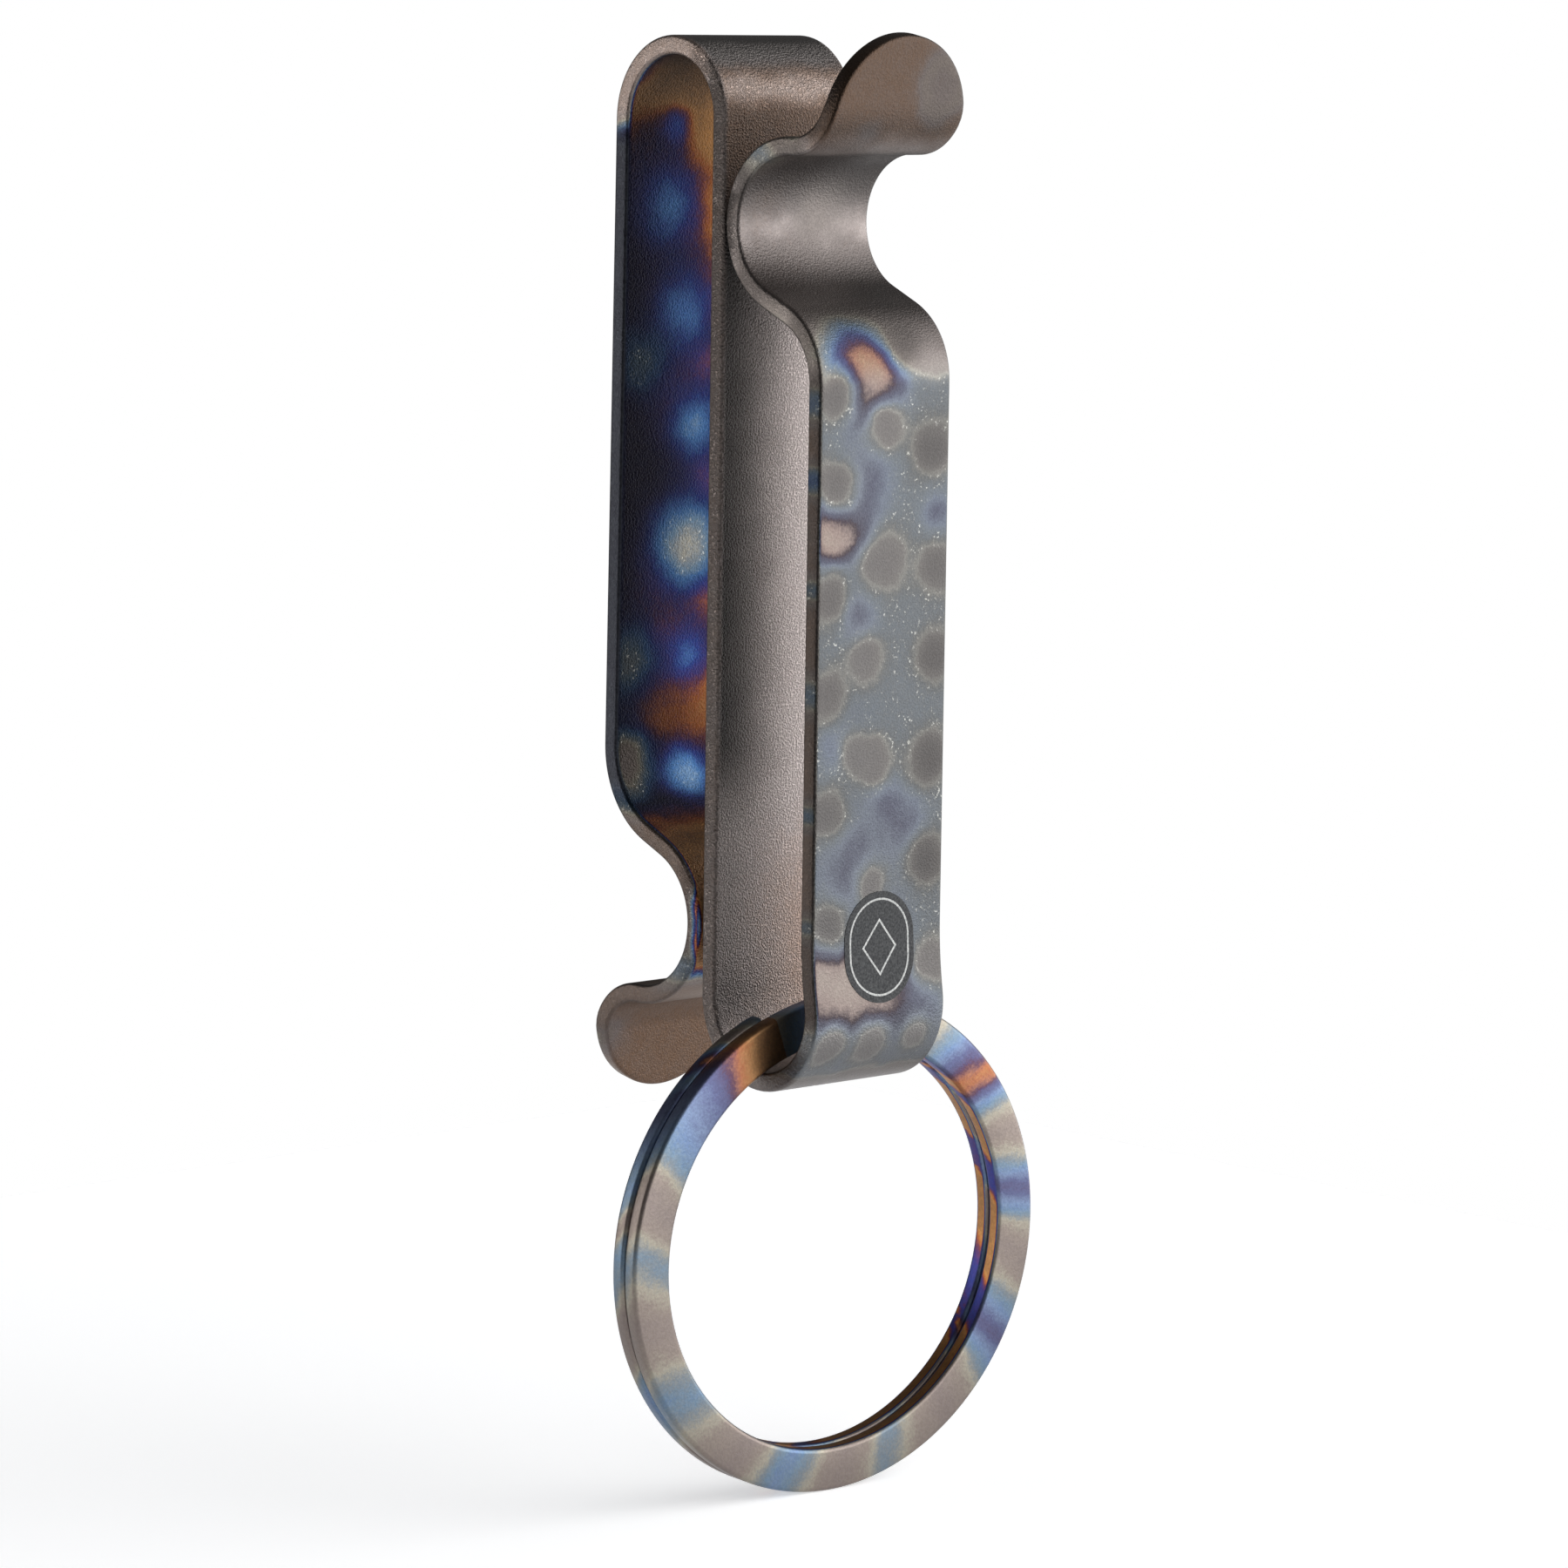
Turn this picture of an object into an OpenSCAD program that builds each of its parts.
// Double-sided suspension clip with a split key ring.
// One titanium strip is folded into an S. Its middle is a centre plate, with a belt
// arm folded down one side and a key arm folded up the other. Each arm ends in a crest
// that closes its slot against the centre plate, and in a rounded thumb tab.
// The strip runs in the XZ plane and is as wide as it is along Y. +Z is up, and the
// origin is the belt seat: the middle of the inside of the top bend.

/* [Strip] */
// Width of the strip
strip_w = 11; // [8:0.5:13]
// Thickness of the strip
strip_t = 1.2; // [1:0.1:1.5]
// Length of the flat centre plate between the two bends
plate_len = 55; // [50:0.5:60]
// Gap between the belt arm's crest and the centre plate
belt_gap = 0.3; // [0.2:0.05:0.6]
// Gap between the key arm's crest and the centre plate
key_gap = 0.15; // [0.1:0.05:0.6]

/* [Belt side] */
// Middle radius of the top bend, beside the centre plate
top_plate_r = 4.4; // [4:0.1:6]
// Middle radius of the top bend, beside the belt arm
top_arm_r = 4.75; // [4:0.1:6]
// How far the belt arm leans away from the centre plate, in degrees
belt_splay = 0.7; // [0:0.1:1]
// Flat length of the belt arm
belt_arm_len = 39.8; // [36:0.2:42]
// Radius of the belt arm's turn towards the centre plate
belt_shoulder_r = 5.8; // [5:0.1:6]
// Radius of the belt arm's crest
belt_crest_r = 5.05; // [4.5:0.05:5.2]

/* [Key side] */
// Middle radius of the bottom bend, beside the centre plate
bottom_plate_r = 4.95; // [4.7:0.05:6]
// Middle radius of the bottom bend, beside the key arm
bottom_arm_r = 4.6; // [4.5:0.05:6]
// How far the bottom bend is turned past upright, in degrees
over_bend = 9; // [0:1:10]
// Flat length of the key arm
key_arm_len = 33.8; // [30:0.2:36]
// Radius of the key arm's turn towards the centre plate
key_shoulder_r = 4.6; // [4:0.1:5]
// Radius of the key arm's crest
key_crest_r = 4.9; // [4.5:0.05:5.2]

/* [Crests and tabs] */
// How steeply each arm slants in to its crest, in degrees from upright
slant = 66; // [62:1:70]
// Whole turn of each crest, in degrees
crest_turn = 159; // [150:1:165]
// Radius of the turn from a crest into its thumb tab
kick_r = 3.5; // [3:0.1:4]
// Turn from a crest into its thumb tab, in degrees
kick_turn = 82; // [70:1:85]
// Flat length of a thumb tab
tab_len = 4.2; // [3.5:0.1:5]

/* [Split ring] */
// Outer diameter of the split ring
ring_od = 32; // [30:0.5:34]
// Width of the flat ring wire, measured along the ring's radius
wire_w = 2.8; // [2.4:0.05:2.9]
// Thickness of the flat ring wire
wire_t = 1.15; // [1:0.05:1.2]
// Gap between the ring's two coils
coil_gap = 0.1; // [0.08:0.02:0.2]
// Bevel along the outer edges of the wire
wire_bevel = 0.25; // [0.1:0.05:0.4]
// Turn of the hanging ring about the upright, in degrees
ring_yaw = -4.8; // [-5:0.2:5]
// Lean of the hanging ring's lower edge towards the belt side, in degrees
ring_lean = 1.4; // [0:0.2:2]
// How far the ring hangs off the middle of the strip's width
ring_shift = 0.4; // [0:0.1:0.8]
// Half of the angle taken by the step between the coils, in degrees
joggle_half = 20; // [16:1:24]

/* [Hidden] */
// A run of strip is a list of steps. A step is [length, 0] where the strip is flat, or
// [middle radius, turn] where it bends, with a turn to the left counted as positive.
release_r = 30;     // radius of the gentle curve back to upright after the over bend
facet = 3;          // largest turn of a bend's outline from one point to the next, in degrees
end_gap = 1;        // angle left free at a coil's cut end, in degrees
spread_gap = 0.2;   // angle between the step and the front coil, which springs off it
joggle_steps = 4;   // straight pieces that the step between the coils is made of
sliver = 0.01;      // thickness of the slices that those pieces are hulled from
$fn = 96;

top_bend = [[top_plate_r, 90], [top_arm_r, 90 - belt_splay]];
bottom_bend = [[bottom_plate_r, 90], [bottom_arm_r, 90 + over_bend], [release_r, -over_bend]];

// X of each arm's middle line at the foot of its slant, counted from the centre plate
belt_x = top_plate_r + top_arm_r * cos(belt_splay) + belt_arm_len * sin(belt_splay);
key_x = bottom_plate_r + bottom_arm_r * cos(over_bend) - release_r * (1 - cos(over_bend));

// Flat length of the slant that brings a crest to its gap from the centre plate:
// the shoulder turns from its lean to the slant, and the crest back to upright
function slant_len(arm_x, gap, shoulder_r, crest_r, lean) =
    (arm_x - strip_t - gap - shoulder_r * (cos(lean) - cos(slant))
        - crest_r * (1 - cos(slant))) / sin(slant);

belt_slant = slant_len(belt_x, belt_gap, belt_shoulder_r, belt_crest_r, belt_splay);
key_slant = slant_len(key_x, key_gap, key_shoulder_r, key_crest_r, 0);

belt_run = [[belt_arm_len, 0], [belt_shoulder_r, slant + belt_splay], [belt_slant, 0],
    [belt_crest_r, -crest_turn], [kick_r, kick_turn], [tab_len, 0]];
key_run = [[key_arm_len, 0], [key_shoulder_r, slant], [key_slant, 0],
    [key_crest_r, -crest_turn], [kick_r, kick_turn], [tab_len, 0]];

// Radius of a thumb tab's round end
tab_r = strip_w / 2 + 0.03;

// Height of the belt seat above the middle of the centre plate
seat_z = plate_len / 2 + top_plate_r - strip_t / 2;

// The ring hangs on the inside of the bottom bend, and swings about the middle of the
// bend's arm side. Its centre hangs this far below there and out towards the key arm.
swing_x = bottom_plate_r;
swing_z = -plate_len / 2 - bottom_plate_r + bottom_arm_r;
hang_drop = 15.5;
hang_out = 0.1;
coil_shift = (wire_t + coil_gap) / 2;

// A place on the strip's middle line is [x, y, heading]. This is the place one step on
function next(at, s) =
    s[1] == 0 ? [at[0] + s[0] * cos(at[2]), at[1] + s[0] * sin(at[2]), at[2]]
    : let (k = sign(s[1]), h = at[2] + s[1])
        [at[0] + k * s[0] * (sin(h) - sin(at[2])), at[1] - k * s[0] * (cos(h) - cos(at[2])), h];

// The place at the end of a run
function end_of(at, run, i = 0) = i < len(run) ? end_of(next(at, run[i]), run, i + 1) : at;

// Every place along a run, with a bend divided into equal turns
function places(at, run, i = 0) =
    i == len(run) ? [at]
    : let (n = run[i][1] == 0 ? 1 : ceil(abs(run[i][1]) / facet))
        concat([for (j = [0 : n - 1]) j == 0 ? at : next(at, [run[i][0], run[i][1] * j / n])],
            places(next(at, run[i]), run, i + 1));

// The strip's outline along a run: out along its left surface and back along its right
function outline(line) = concat(
    [for (p = line) [p[0] - strip_t / 2 * sin(p[2]), p[1] + strip_t / 2 * cos(p[2])]],
    [for (i = [len(line) - 1 : -1 : 0]) let (p = line[i])
        [p[0] + strip_t / 2 * sin(p[2]), p[1] - strip_t / 2 * cos(p[2])]]);

plate_top = [0, plate_len / 2, 90];
plate_bottom = [0, -plate_len / 2, -90];
belt_cut = end_of(plate_top, top_bend);
key_cut = end_of(plate_bottom, bottom_bend);

// Puts a part from the centre plate's own frame into the clip's frame
module from_plate() translate([top_plate_r, 0, -seat_z]) children();

// Stands an outline drawn in the XY plane up in the XZ plane, as wide as the strip
module strip() rotate([90, 0, 0]) linear_extrude(strip_w, center = true) children();

// An arm that starts at a cut, with the corners of its far end rounded off into a tab
module arm(cut, run) {
    tip = end_of(cut, run);
    from_plate() difference() {
        strip() polygon(outline(places(cut, run)));
        rotate([90, 0, 0]) translate([tip[0], tip[1], 0]) rotate(tip[2]) tab_corners();
    }
}

// What is cut from an arm's square end, drawn at the end with the arm along -X. The round
// is a hair wider than the strip, so that it crosses the strip's edges and doesn't graze them.
module tab_corners()
    difference() {
        translate([-tab_r, -1.5 * strip_t, -strip_w / 2 - 1])
            cube([tab_r + 1, 3 * strip_t, strip_w + 2]);
        translate([-tab_r, 0, 0]) rotate([90, 0, 0])
            cylinder(r = tab_r, h = 4 * strip_t, center = true);
    }

// The middle of the strip with both bends, which hold the arms
module centre_plate()
    color("rosybrown") from_plate() strip()
        polygon(concat(outline(places(plate_top, top_bend)),
            outline(places(plate_bottom, bottom_bend))));

// The arm that goes over a belt or a pocket's edge
module belt_arm() color("midnightblue") arm(belt_cut, belt_run);

// The arm that the key ring hangs behind
module key_arm() color("slategray") arm(key_cut, key_run);

// Puts a ring drawn round +Z, with its +X up, where it hangs in the bottom bend.
// Its front, towards +Z, then faces out past the key arm.
module hang()
    from_plate() translate([swing_x + hang_out, ring_shift, swing_z - hang_drop])
        rotate([0, ring_lean, ring_yaw]) rotate([0, 90, 0]) rotate(180)
            children();

// The wire's outline beside the ring's axis, with its two outer edges bevelled.
// Its inner face, which the other coil lies against, is on the line y = 0.
module wire_outline()
    translate([ring_od / 2 - wire_w, 0])
        polygon([[0, 0], [wire_w, 0], [wire_w, wire_t - wire_bevel],
            [wire_w - wire_bevel, wire_t], [wire_bevel, wire_t], [0, wire_t - wire_bevel]]);

// One coil of flat wire in front of the ring's middle plane. It starts at the step between
// the coils, a small gap from it, and its cut end stops short of the step's other end.
module coil(gap)
    translate([0, 0, coil_gap / 2])
        rotate(joggle_half + gap)
            rotate_extrude(angle = 360 - 2 * joggle_half - gap - end_gap) wire_outline();

// One slice of the wire as it steps from the rear coil (share 0) to the front (share 1)
module joggle_slice(share)
    rotate(joggle_half * (2 * share - 1))
        translate([ring_od / 2 - wire_w, -sliver / 2, coil_shift * (2 * share - 1) - wire_t / 2])
            cube([wire_w, sliver, wire_t]);

// The rear coil is the front one turned over about the ring's upright
module ring_rear_coil() color("steelblue") hang() rotate([180, 0, 0]) coil(0);
module ring_front_coil() color("lightsteelblue") hang() coil(spread_gap);

// The short stretch of wire that steps across from one coil to the other
module ring_joggle()
    color("tan") hang()
        for (i = [0 : joggle_steps - 1])
            hull() {
                joggle_slice(i / joggle_steps);
                joggle_slice((i + 1) / joggle_steps);
            }

centre_plate();
belt_arm();
key_arm();
ring_rear_coil();
ring_joggle();
ring_front_coil();
